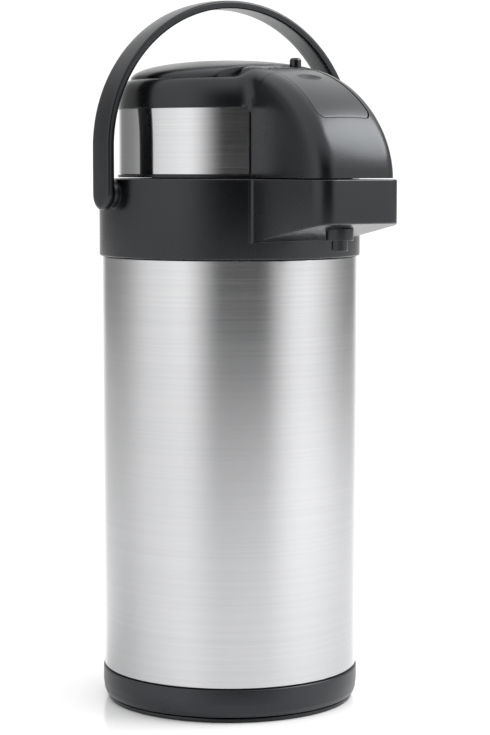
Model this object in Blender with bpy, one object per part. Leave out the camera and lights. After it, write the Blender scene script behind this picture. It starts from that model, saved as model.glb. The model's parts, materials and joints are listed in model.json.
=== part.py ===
"""Pump-action thermal coffee airpot, three litre size.

Frame: metres, +Z up, origin on the vessel's axis at the surface it stands on.
The spout points towards -Y, the handle pivots lie on X and the lid's hinge is at +Y.
"""
import math

import bmesh
import bpy
from mathutils import Matrix, Vector

# ---- driving dimensions -------------------------------------------------------------
GAP = 0.0003                 # between pieces that touch
FINE, MEDIUM, COARSE = 44, 24, 16      # sides of a turned piece

SHELL_R = 0.0760             # steel body
SHELL_WALL = 0.0010
BASE_R = 0.0767              # top of the base ring
BASE_TOP_Z = 0.0198
FOOT_R = 0.0738
FOOT_H = 0.0025
COLLAR_R = 0.0777
COLLAR_LOW_Z = 0.2670
COLLAR_TOP_Z = 0.3126
WALL = 0.0022                # moulded plastic
MOUTH_R = 0.0390             # clear mouth of the bottle
RING_R = 0.0500              # outside of the mouth ring
RING_TOP_Z = 0.3105

BEAK_ROOT = (0.0299, -0.0717)    # half width and y where the collar's beak starts
BEAK_NOSE = (0.0274, -0.1372)
BEAK_ROUND = 0.0100
BEAK_NOSE_Z = 0.2885         # underside at the nose
BEAK_ROOT_Z = 0.2766         # underside at the collar

LID_R = 0.0660
LID_LOW_Z = 0.3133
BAND_LOW_Z, BAND_TOP_Z = 0.3152, 0.3530
BAND_WALL = 0.0010
DOME_EDGE_R, DOME_EDGE_Z = 0.0594, 0.3702    # rim round the push cap
DOME_TOP_Z = 0.3820

HOOD_REAR_Y = -0.0465        # the hood's side profile is a superellipse from here
HOOD_LENGTH = 0.0884
HOOD_HEIGHT = 0.0637
HOOD_POWER = 1.92
HOOD_ROOT = (0.0244, -0.0610)      # half width and y
HOOD_NOSE = (0.0272, -0.1245)
HOOD_CROWN = 0.0010
HOOD_EDGE_REAR, HOOD_EDGE_NOSE = 0.0065, 0.0104

CAP_R = 0.0589
CAP_FRONT_Y = -0.0452
CAP_SKIRT_Z = 0.3585

PANEL_REAR_Y, PANEL_FRONT_Y = -0.0640, -0.1200
PANEL_REAR_HALF, PANEL_FRONT_HALF = 0.0150, 0.0175
PANEL_CORNER = 0.0040
PANEL_ROOM = (0.0004, 0.0010, 0.0006)    # gap round it: sides, rear, front
PANEL_AXIS = (-0.0980, 0.3540)     # y, z of its hinge pin

LOCK_PLACE = (0.0140, -0.0495)
LOCK_TRAVEL = 0.0280
LOCK_TOP_Z = 0.3822

PIVOT_Y, PIVOT_Z = 0.0025, 0.3040  # handle pivots
BAIL_OUT, BAIL_IN = 0.0870, 0.0820
BAIL_ARCH_Z = 0.3305               # centre of the handle's round top
BAIL_WIDTH = 0.0190
PIN_R = 0.0030
BOSS_R = 0.0084

HINGE_Y, HINGE_Z = 0.0715, 0.3186  # lid hinge
HINGE_PIN_R = 0.0018
EAR_X, EAR_WIDTH = 0.0140, 0.0040

PLATE_LOW_Z, PLATE_TOP_Z = 0.3140, 0.3164    # plate that closes the lid below
BELLOWS_Y = 0.0060
BELLOWS_Z = (0.3180, 0.3570)
TUBE_Y = -0.0220
TUBE_R, TUBE_BORE = 0.0040, 0.0028
TUBE_LOW_Z, TUBE_TOP_Z = 0.0460, 0.2940
POUR_Z = 0.3046
SPOUT_Y = -0.1150
SPOUT_LOW_Z = 0.2730

BASE_SCREW_R, BASE_SCREW_ANGLES = 0.0600, (86, 206, 326)
PLATE_SCREW_R, PLATE_SCREW_ANGLES = 0.0588, (42, 138, 206, 334)
LATCH_SLOT = [(-0.0085, -0.1245), (0.0085, -0.1245), (0.0085, -0.1110), (-0.0085, -0.1110)]

# ---- materials ----------------------------------------------------------------------
FINISHES = {
    "steel_brushed": ((0.62, 0.62, 0.63), 0.32, 1.0),
    "steel_plain": ((0.70, 0.70, 0.71), 0.22, 1.0),
    "black_satin": ((0.030, 0.031, 0.035), 0.38, 0.0),
    "charcoal": ((0.070, 0.072, 0.078), 0.42, 0.0),
    "panel_grey": ((0.105, 0.108, 0.118), 0.36, 0.0),
    "black_gloss": ((0.015, 0.015, 0.017), 0.15, 0.0),
    "natural_plastic": ((0.78, 0.78, 0.76), 0.45, 0.0),
    "silicone": ((0.70, 0.69, 0.66), 0.60, 0.0),
}


def make_materials():
    made = {}
    for name, (colour, roughness, metallic) in FINISHES.items():
        mat = bpy.data.materials.new(name)
        mat.use_nodes = True
        shader = mat.node_tree.nodes["Principled BSDF"]
        shader.inputs["Base Color"].default_value = (*colour, 1.0)
        shader.inputs["Roughness"].default_value = roughness
        shader.inputs["Metallic"].default_value = metallic
        mat.diffuse_color = (*colour, 1.0)
        made[name] = mat
    return made


# ---- mesh tools ---------------------------------------------------------------------
def add_object(name, vertices, faces, origin=(0, 0, 0)):
    """An object whose vertices are given in the row frame and whose origin is origin."""
    origin = Vector(origin)
    mesh = bpy.data.meshes.new(name)
    mesh.from_pydata([tuple(Vector(v) - origin) for v in vertices], [], faces)
    bm = bmesh.new()
    bm.from_mesh(mesh)
    bmesh.ops.remove_doubles(bm, verts=bm.verts, dist=1e-6)
    bmesh.ops.recalc_face_normals(bm, faces=bm.faces)
    bm.to_mesh(mesh)
    bm.free()
    obj = bpy.data.objects.new(name, mesh)
    obj.location = origin
    bpy.context.scene.collection.objects.link(obj)
    bpy.context.view_layer.update()
    return obj


def combine(obj, other, operation):
    """Boolean other into obj, keep the result as obj's mesh and drop other."""
    step = obj.modifiers.new("combine", "BOOLEAN")
    step.operation = operation
    step.solver = "EXACT"
    step.object = other
    bpy.context.view_layer.update()
    graph = bpy.context.evaluated_depsgraph_get()
    result = bpy.data.meshes.new_from_object(obj.evaluated_get(graph))
    obj.modifiers.clear()
    old, obj.data = obj.data, result
    bpy.data.meshes.remove(old)
    bpy.data.objects.remove(other)
    bm = bmesh.new()
    bm.from_mesh(result)
    bmesh.ops.remove_doubles(bm, verts=bm.verts, dist=2e-6)
    bmesh.ops.dissolve_degenerate(bm, edges=bm.edges, dist=2e-6)
    bm.to_mesh(result)
    bm.free()
    return obj


def cut(obj, *tools):
    for tool in tools:
        combine(obj, tool, "DIFFERENCE")
    return obj


def join(obj, *others):
    for other in others:
        combine(obj, other, "UNION")
    return obj


def lathe(name, profile, sides=FINE, centre=(0, 0), origin=(0, 0, 0)):
    """Turn a closed outline of (radius, z) about the vertical through centre."""
    angles = [2 * math.pi * k / sides for k in range(sides)]
    vertices, rings = [], []
    for radius, z in profile:
        if radius < 1e-9:
            rings.append([len(vertices)] * sides)
            vertices.append((centre[0], centre[1], z))
            continue
        rings.append(list(range(len(vertices), len(vertices) + sides)))
        vertices += [(centre[0] + radius * math.cos(a), centre[1] + radius * math.sin(a), z)
                     for a in angles]
    faces = []
    for i, ring in enumerate(rings):
        after = rings[(i + 1) % len(rings)]
        for k in range(sides):
            m = (k + 1) % sides
            corners = [ring[k], ring[m], after[m], after[k]]
            face = [c for n, c in enumerate(corners) if c not in corners[:n]]
            if len(face) > 2:
                faces.append(face)
    return add_object(name, vertices, faces, origin)


def extrude(name, outline, low, high, axis="Z", origin=(0, 0, 0)):
    """A prism on a closed outline: (x, y) along Z, (y, z) along X or (x, z) along Y."""
    def place(p, h):
        return {"X": (h, p[0], p[1]), "Y": (p[0], h, p[1]), "Z": (p[0], p[1], h)}[axis]
    count = len(outline)
    vertices = [place(p, h) for h in (low, high) for p in outline]
    faces = [list(range(count)), list(range(count, 2 * count))]
    faces += [[k, (k + 1) % count, count + (k + 1) % count, count + k] for k in range(count)]
    return add_object(name, vertices, faces, origin)


def rod(name, radius, low, high, centre, axis="X", sides=COARSE, origin=(0, 0, 0)):
    """A round bar along one axis; centre is its place on the other two."""
    return extrude(name, disc(centre, radius, sides), low, high, axis, origin)


def disc(centre, radius, sides):
    return [(centre[0] + radius * math.cos(2 * math.pi * k / sides),
             centre[1] + radius * math.sin(2 * math.pi * k / sides)) for k in range(sides)]


def pipe(name, path, radius, bore, sides=12):
    """A hollow round tube along a path that stays in the plane x = 0."""
    path = [Vector(p) for p in path]
    rings = []
    for r in (radius, bore):
        for i, p in enumerate(path):
            ahead = path[min(i + 1, len(path) - 1)] - path[max(i - 1, 0)]
            ahead.normalize()
            side = Vector((1, 0, 0))
            up = ahead.cross(side)
            rings.append([p + r * (math.cos(a) * side + math.sin(a) * up)
                          for a in (2 * math.pi * k / sides for k in range(sides))])
    vertices = [v for ring in rings for v in ring]
    n = len(path)
    order = list(range(n)) + list(range(2 * n - 1, n - 1, -1))
    faces = []
    for i, row in enumerate(order):
        after = order[(i + 1) % len(order)]
        for k in range(sides):
            m = (k + 1) % sides
            faces.append([row * sides + k, row * sides + m, after * sides + m, after * sides + k])
    return add_object(name, vertices, faces)


def coil(name, radius, wire, turns, start, axis, length, per_turn=12, sides=4):
    """A spring: wire of radius wire wound at radius about axis, with flat cut ends."""
    axis = Vector(axis)
    side = axis.orthogonal().normalized()
    other = axis.cross(side)
    count = int(turns * per_turn)
    vertices, faces = [], []
    for i in range(count + 1):
        turn = 2 * math.pi * i / per_turn
        out = math.cos(turn) * side + math.sin(turn) * other
        centre = Vector(start) + radius * out + axis * (length * i / count)
        vertices += [centre + wire * (math.cos(b) * out + math.sin(b) * axis)
                     for b in (2 * math.pi * k / sides for k in range(sides))]
    for i in range(count):
        for k in range(sides):
            m = (k + 1) % sides
            faces.append([i * sides + k, i * sides + m, (i + 1) * sides + m, (i + 1) * sides + k])
    faces += [list(range(sides)), list(range(count * sides, (count + 1) * sides))]
    return add_object(name, vertices, faces)


def arc(centre, radius, start, end, steps):
    """Points on an arc, angles in degrees."""
    return [(centre[0] + radius * math.cos(math.radians(start + (end - start) * k / steps)),
             centre[1] + radius * math.sin(math.radians(start + (end - start) * k / steps)))
            for k in range(steps + 1)]


def around(radius, angles):
    """Places on a circle about the axis, angles in degrees."""
    return [(radius * math.cos(math.radians(a)), radius * math.sin(math.radians(a)))
            for a in angles]


# ---- shared shapes of the beak, the hood and the dome -------------------------------
def beak_outline(inset, rear_y=-0.050):
    """Plan of the collar's beak: sides that taper to a nose with round corners."""
    slope = (BEAK_ROOT[0] - BEAK_NOSE[0]) / (BEAK_ROOT[1] - BEAK_NOSE[1])
    nose_y = BEAK_NOSE[1] + inset
    nose_half = BEAK_NOSE[0] - inset
    rear_half = nose_half + slope * (rear_y - nose_y)
    radius = BEAK_ROUND - inset
    right = arc((nose_half - radius, nose_y + radius), radius, 0, -90, 5)
    left = [(-x, y) for x, y in reversed(right)]
    return [(rear_half, rear_y)] + right + left + [(-rear_half, rear_y)]


def beak_profile(floor, ceiling, inset):
    """Side view of the beak: a flat top and an underside that falls to the collar."""
    nose_y = BEAK_NOSE[1] - 0.002
    fall = (BEAK_ROOT_Z - BEAK_NOSE_Z) / (BEAK_ROOT[1] - BEAK_NOSE[1])
    def under(y):
        return BEAK_NOSE_Z + fall * (y - BEAK_NOSE[1]) + floor
    rear_y = -0.051 + inset
    return [(nose_y, ceiling), (nose_y, under(nose_y)), (rear_y, under(rear_y)), (rear_y, ceiling)]


def beak_solid(name, inset, floor, ceiling):
    body = extrude(name, beak_outline(inset), 0.25, 0.33)
    side = extrude("side", beak_profile(floor, ceiling, inset), -0.05, 0.05, axis="X")
    return combine(body, side, "INTERSECT")


def hood_half(y):
    """Half width of the lid's hood, slightly wider towards the nose."""
    slope = (HOOD_NOSE[0] - HOOD_ROOT[0]) / (HOOD_NOSE[1] - HOOD_ROOT[1])
    return HOOD_ROOT[0] + slope * (y - HOOD_ROOT[1])


def hood_solid(name, inset, stations=11, across=3, rear_y=HOOD_REAR_Y, low_z=LID_LOW_Z):
    """The hood over the beak: a rounded section swept along the superellipse profile."""
    rows = []
    for i in range(stations + 1):
        t = 0.5 * math.pi * i / stations
        y = HOOD_REAR_Y - HOOD_LENGTH * math.sin(t) ** (2 / HOOD_POWER)
        z = LID_LOW_Z + HOOD_HEIGHT * max(0.0, math.cos(t)) ** (2 / HOOD_POWER)
        normal = Vector((0, -math.sin(t), math.cos(t)))
        edge = HOOD_EDGE_REAR + (HOOD_EDGE_NOSE - HOOD_EDGE_REAR) * math.sin(t) - inset
        row = []
        for k in range(across + 1):
            angle = 0.5 * math.pi * k / across
            drop = edge * (1 - math.cos(angle)) + HOOD_CROWN * math.sin(angle) + inset
            place = y - normal.y * drop
            x = hood_half(place) - inset - edge * (1 - math.sin(angle))
            row.append((x, place, z - normal.z * drop))
        rows.append([(-x, y, z) for x, y, z in reversed(row)] + row)
    if rear_y > HOOD_REAR_Y:
        rows.insert(0, [(x, rear_y, z) for x, y, z in rows[0]])
    width = len(rows[0])
    vertices = [p for row in rows for p in row]
    faces = [[i * width + k, i * width + k + 1, (i + 1) * width + k + 1, (i + 1) * width + k]
             for i in range(len(rows) - 1) for k in range(width - 1)]
    base = len(vertices)
    corners = [(rows[0][0], rows[0][-1]), (rows[-1][0], rows[-1][-1])]
    for left, right in corners:
        vertices += [(left[0], left[1], low_z), (right[0], right[1], low_z)]
    last = (len(rows) - 1) * width
    faces.append([0] + [i * width for i in range(1, len(rows))] + [base + 2, base])
    faces.append([width - 1] + [i * width + width - 1 for i in range(1, len(rows))]
                 + [base + 3, base + 1])
    faces.append(list(range(width)) + [base + 1, base])
    faces.append(list(range(last, last + width)) + [base + 3, base + 2])
    faces.append([base, base + 1, base + 3, base + 2])
    return add_object(name, vertices, faces)


def dome_curve(offset, steps=4):
    """Side of the dome from the steel band up to the rim, as (radius, z)."""
    points = []
    for k in range(steps + 1):
        angle = 0.5 * math.pi * k / steps
        radius = LID_R - (LID_R - DOME_EDGE_R) * (1 - math.cos(angle)) - offset
        z = BAND_TOP_Z + (DOME_EDGE_Z - BAND_TOP_Z) * math.sin(angle)
        points.append((radius, z))
    return points


def cap_curve(steps=5):
    """Top of the dome from the rim to the middle, as (radius, z)."""
    rise = DOME_TOP_Z - DOME_EDGE_Z
    return [(CAP_R * math.cos(0.5 * math.pi * k / steps),
             DOME_EDGE_Z + rise * math.sin(0.5 * math.pi * k / steps) ** 0.9)
            for k in range(steps + 1)]


def panel_outline(side, rear_room=0.0, front_room=0.0):
    """Plan of the finger panel, a trapezoid with round corners, grown on each side."""
    rear, front = PANEL_REAR_HALF + side, PANEL_FRONT_HALF + side
    y_rear, y_front = PANEL_REAR_Y + rear_room, PANEL_FRONT_Y - front_room
    r = PANEL_CORNER + side
    right = arc((front - r, y_front + r), r, -90, 0, 4) + arc((rear - r, y_rear - r), r, 0, 90, 4)
    return right + [(-x, y) for x, y in reversed(right)]


def cap_outline(grow):
    """Plan of the push cap: a circle with a flat front."""
    radius = CAP_R + grow
    front = CAP_FRONT_Y - grow
    start = math.degrees(math.asin(front / radius))
    return arc((0, 0), radius, start, 180 - start, 36)


# ---- vessel -------------------------------------------------------------------------
def build_vessel(add):
    low = BASE_TOP_Z + GAP
    inner = SHELL_R - SHELL_WALL
    outside = [(SHELL_R - 0.002, low), (SHELL_R, low + 0.001), (SHELL_R, 0.2655),
               (0.0746, 0.2672), (0.0746, 0.2710), (0.0690, 0.2790), (0.0560, 0.2880),
               (0.0460, 0.2915), (0.0460, 0.2970)]
    inside = [(0.0450, 0.2970), (0.0450, 0.2908), (0.0554, 0.2871), (0.0683, 0.2782),
              (0.0736, 0.2705), (0.0736, 0.2662), (inner, 0.2650), (inner, low + SHELL_WALL),
              (0, low + SHELL_WALL)]
    add(lathe("outer_shell", [(0, low)] + outside + inside), "steel_brushed")

    out = [(0, 0.0290), (0.050, 0.0290), (0.063, 0.0315), (0.070, 0.0390), (0.070, 0.2560),
           (0.067, 0.2650), (0.054, 0.2755), (0.0400, 0.2810), (0.0400, 0.2976),
           (0.0463, 0.2976)]
    back = [(0.0463, 0.2984), (0.0392, 0.2984), (0.0392, 0.2804), (0.0535, 0.2748),
            (0.0662, 0.2645), (0.0692, 0.2557), (0.0692, 0.0393), (0.0626, 0.0323),
            (0.0499, 0.0298), (0, 0.0298)]
    add(lathe("inner_liner", out + back), "steel_plain")

    ring = lathe("mouth_ring", [(MOUTH_R, 0.2988), (MOUTH_R, RING_TOP_Z - 0.001),
                                (MOUTH_R + 0.001, RING_TOP_Z), (RING_R, RING_TOP_Z),
                                (RING_R, 0.2925), (0.0468, 0.2925), (0.0468, 0.2988)])
    cut(ring, rod("way", TUBE_R + GAP, -0.060, -0.030, (0, POUR_Z), "Y"))
    add(ring, "natural_plastic")


def build_base(add):
    plate_low, plate_top = 0.0030, 0.0052
    base = lathe("base_ring", [
        (0.0090, plate_low), (0.0738, plate_low), (0.0752, 0.0036), (0.0760, 0.0060),
        (BASE_R, 0.0110), (BASE_R, BASE_TOP_Z - 0.0006), (BASE_R - 0.0006, BASE_TOP_Z),
        (0.0700, BASE_TOP_Z), (0.0700, 0.0178), (0.0742, 0.0172), (0.0742, 0.0080),
        (0.0730, plate_top), (0.0090, plate_top)])
    screws = around(BASE_SCREW_R, BASE_SCREW_ANGLES)
    for place in screws:
        cut(base, rod("hole", 0.0024, 0.002, 0.007, place, "Z", 12))
    add(base, "charcoal")

    bracket = lathe("bottom_bracket", [(0.0520, 0.0185), (0.0520, BASE_TOP_Z), (0.0680, BASE_TOP_Z),
                                       (0.0680, 0.0185)], MEDIUM)
    for place in screws:
        join(bracket, rod("post", 0.0040, 0.0056, 0.0190, place, "Z", 14))
        cut(bracket, rod("bore", 0.0018, 0.0050, 0.0150, place, "Z", 12))
    add(bracket, "steel_plain")
    profile = [(0, 0.0033), (0.0020, 0.0033), (0.0020, 0.0042), (0.0015, 0.0044),
               (0.0015, 0.0148), (0, 0.0148)]
    for number, place in enumerate(screws, 1):
        add(lathe(f"base_screw_{number}", profile, 12, place), "steel_plain")

    foot = lathe("swivel_foot", [
        (0, 0), (FOOT_R - 0.0006, 0), (FOOT_R, 0.0006), (FOOT_R, FOOT_H), (0.0086, FOOT_H),
        (0.0086, 0.0055), (0.0044, 0.0055), (0.0044, 0.0012), (0, 0.0012)])
    add(foot, "black_satin")
    washer = lathe("swivel_washer", [(0.0088, 0.0055), (0.0160, 0.0055), (0.0160, 0.0062),
                                     (0.0088, 0.0062)], MEDIUM)
    add(washer, "steel_plain")
    screw = lathe("swivel_screw", [(0, 0.0015), (0.0041, 0.0015), (0.0041, 0.0065),
                                   (0.0120, 0.0065), (0.0120, 0.0085), (0.0105, 0.0095),
                                   (0, 0.0095)], COARSE)
    add(screw, "steel_plain")


def build_collar(add):
    deck = 0.0024
    under_deck = COLLAR_TOP_Z - deck
    hole = RING_R + GAP
    collar = lathe("collar", [
        (hole, COLLAR_TOP_Z), (hole, COLLAR_TOP_Z - deck), (COLLAR_R - WALL, under_deck),
        (COLLAR_R - WALL, COLLAR_LOW_Z + 0.0004), (SHELL_R + 0.0003, COLLAR_LOW_Z),
        (COLLAR_R - 0.0010, COLLAR_LOW_Z), (COLLAR_R, COLLAR_LOW_Z + 0.0010),
        (COLLAR_R, COLLAR_TOP_Z - 0.0006), (COLLAR_R - 0.0006, COLLAR_TOP_Z)])
    solid = beak_solid("beak", 0.0, 0.0, COLLAR_TOP_Z)
    cut(solid, rod("clear", COLLAR_R - 0.0012, 0.24, 0.34, (0, 0), "Z", FINE))
    join(collar, solid)
    hollow = beak_solid("hollow", WALL, WALL, under_deck)
    cut(hollow, rod("clear", 0.0600, 0.24, 0.34, (0, 0), "Z", FINE))
    cut(collar, hollow)
    for side in (-1, 1):
        ends = sorted((side * 0.0722, side * 0.0816))
        join(collar, rod("boss", BOSS_R, *ends, (PIVOT_Y, PIVOT_Z), "X"))
        ends = sorted((side * 0.0650, side * 0.0900))
        cut(collar, rod("bore", PIN_R + GAP, *ends, (PIVOT_Y, PIVOT_Z), "X", 16))
    cut(collar, rod("nozzle_hole", 0.0054, 0.270, 0.300, (0, SPOUT_Y), "Z", 16))
    cut(collar, extrude("slot", LATCH_SLOT, under_deck - 0.001, COLLAR_TOP_Z + 0.001))
    add(collar, "black_satin")

    ears = None
    for side in (-1, 1):
        x = sorted((side * EAR_X, side * (EAR_X + EAR_WIDTH)))
        round_top = arc((HINGE_Y, HINGE_Z), 0.0042, 0, 180, 8)
        outline = round_top + [(HINGE_Y - 0.0042, 0.3131), (HINGE_Y + 0.0042, 0.3131)]
        ear = extrude("hinge_bracket", outline, *x, axis="X")
        ears = ear if ears is None else join(ears, ear)
    foot = [(-0.0180, 0.0676), (0.0180, 0.0676), (0.0180, 0.0752), (-0.0180, 0.0752)]
    join(ears, extrude("foot", foot, COLLAR_TOP_Z + GAP, COLLAR_TOP_Z + 0.0009))
    cut(ears, rod("bore", HINGE_PIN_R + GAP, -0.030, 0.030, (HINGE_Y, HINGE_Z), "X", 14))
    ears.name = "hinge_bracket"
    add(ears, "black_satin")
    add(rod("hinge_pin", HINGE_PIN_R, -0.0180, 0.0180, (HINGE_Y, HINGE_Z), "X", 14),
        "steel_plain")


def build_flow(add):
    """The way of the coffee: foot, ball, dip tube, elbow, pour tube and nozzle."""
    add(lathe("tube_foot", [(TUBE_R + GAP, 0.0310), (0.0062, 0.0310), (0.0062, 0.0600),
                            (TUBE_R + GAP, 0.0600), (TUBE_R + GAP, 0.0457), (0.0016, 0.0457),
                            (0.0016, 0.0437), (TUBE_R + GAP, 0.0437)], 16, (0, TUBE_Y)),
        "natural_plastic")
    ball_z = 0.0487
    ball = [(0.0022 * math.cos(math.radians(a)), ball_z + 0.0022 * math.sin(math.radians(a)))
            for a in range(-90, 91, 20)]
    ball[0], ball[-1] = (0, ball[0][1]), (0, ball[-1][1])
    add(lathe("check_ball", ball, 14, (0, TUBE_Y), (0, TUBE_Y, ball_z)), "steel_plain")
    add(pipe("dip_tube", [(0, TUBE_Y, z) for z in (TUBE_LOW_Z, TUBE_TOP_Z)], TUBE_R, TUBE_BORE),
        "natural_plastic")
    bend = [(0, TUBE_Y - 0.0080 + 0.0080 * math.cos(a), POUR_Z - 0.0080 + 0.0080 * math.sin(a))
            for a in (math.radians(18 * k) for k in range(6))]
    add(pipe("tube_elbow", [(0, TUBE_Y, TUBE_TOP_Z + GAP)] + bend + [(0, -0.0345, POUR_Z)],
             0.0048, TUBE_BORE), "natural_plastic")
    turn = 0.0100
    curve = [(0, SPOUT_Y + turn - turn * math.sin(a), POUR_Z - turn + turn * math.cos(a))
             for a in (math.radians(18 * k) for k in range(6))]
    add(pipe("pour_tube", [(0, -0.0348, POUR_Z)] + curve + [(0, SPOUT_Y, 0.2912)],
             TUBE_R, TUBE_BORE), "natural_plastic")
    under = 0.2841
    add(lathe("nozzle_collar", [(0.0048, 0.2788), (0.0062, 0.2788), (0.0072, 0.2796),
                                (0.0072, 0.2812), (0.0078, under - 0.0012), (0.0048, under - 0.0012)],
              24, (0, SPOUT_Y)), "black_satin")
    add(lathe("nozzle_tip", [(TUBE_BORE, SPOUT_LOW_Z), (0.0040, SPOUT_LOW_Z), (0.0045, 0.2738),
                             (0.0045, 0.2908), (TUBE_BORE, 0.2908)], 24, (0, SPOUT_Y)),
        "black_satin")


# ---- carrying handle ----------------------------------------------------------------
def build_handle(add):
    for name, side in (("pivot_pin_left", -1), ("pivot_pin_right", 1)):
        origin = (side * 0.080, PIVOT_Y, PIVOT_Z)
        shaft = rod(name, PIN_R, *sorted((side * 0.0705, side * BAIL_OUT)), origin[1:], "X",
                    16, origin)
        head = rod("head", 0.0050, *sorted((side * 0.0700, side * 0.0718)), origin[1:], "X", 16)
        join(shaft, head)
        add(shaft, "steel_plain")

    middle = 0.5 * (BAIL_OUT + BAIL_IN)
    half = 0.5 * (BAIL_OUT - BAIL_IN)
    eye = 0.5 * BAIL_WIDTH
    path = []
    for k in range(7):
        below = eye * math.sin(math.radians(87 * (6 - k) / 6))
        path.append((-middle, PIVOT_Z - below, math.sqrt(eye * eye - below * below), (1, 0)))
    path.append((-middle, BAIL_ARCH_Z, eye, (1, 0)))
    steps = 22
    for k in range(1, steps):
        a = math.pi * (1 - k / steps)
        path.append((middle * math.cos(a), BAIL_ARCH_Z + middle * math.sin(a), eye,
                     (-math.cos(a), -math.sin(a))))
    path += [(-x, z, width, (-inward[0], inward[1])) for x, z, width, inward in reversed(path[:8])]
    vertices, faces = [], []
    for x, z, width, inward in path:
        soft = min(0.0012, 0.4 * width)
        section = [(-half, -width + soft), (-half, width - soft), (-half + 0.0009, width),
                   (half - 0.0009, width), (half, width - soft), (half, -width + soft),
                   (half - 0.0009, -width), (-half + 0.0009, -width)]
        vertices += [(x + inward[0] * s, PIVOT_Y + y, z + inward[1] * s) for s, y in section]
    sides = 8
    for i in range(len(path) - 1):
        for k in range(sides):
            m = (k + 1) % sides
            faces.append([i * sides + k, i * sides + m, (i + 1) * sides + m, (i + 1) * sides + k])
    faces += [list(range(sides)), list(range((len(path) - 1) * sides, len(path) * sides))]
    bail = add_object("bail_handle", vertices, faces, (0, PIVOT_Y, PIVOT_Z))
    cut(bail, rod("bore", PIN_R + GAP, -0.100, 0.100, (PIVOT_Y, PIVOT_Z), "X", 16))
    add(bail, "black_satin")


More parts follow.
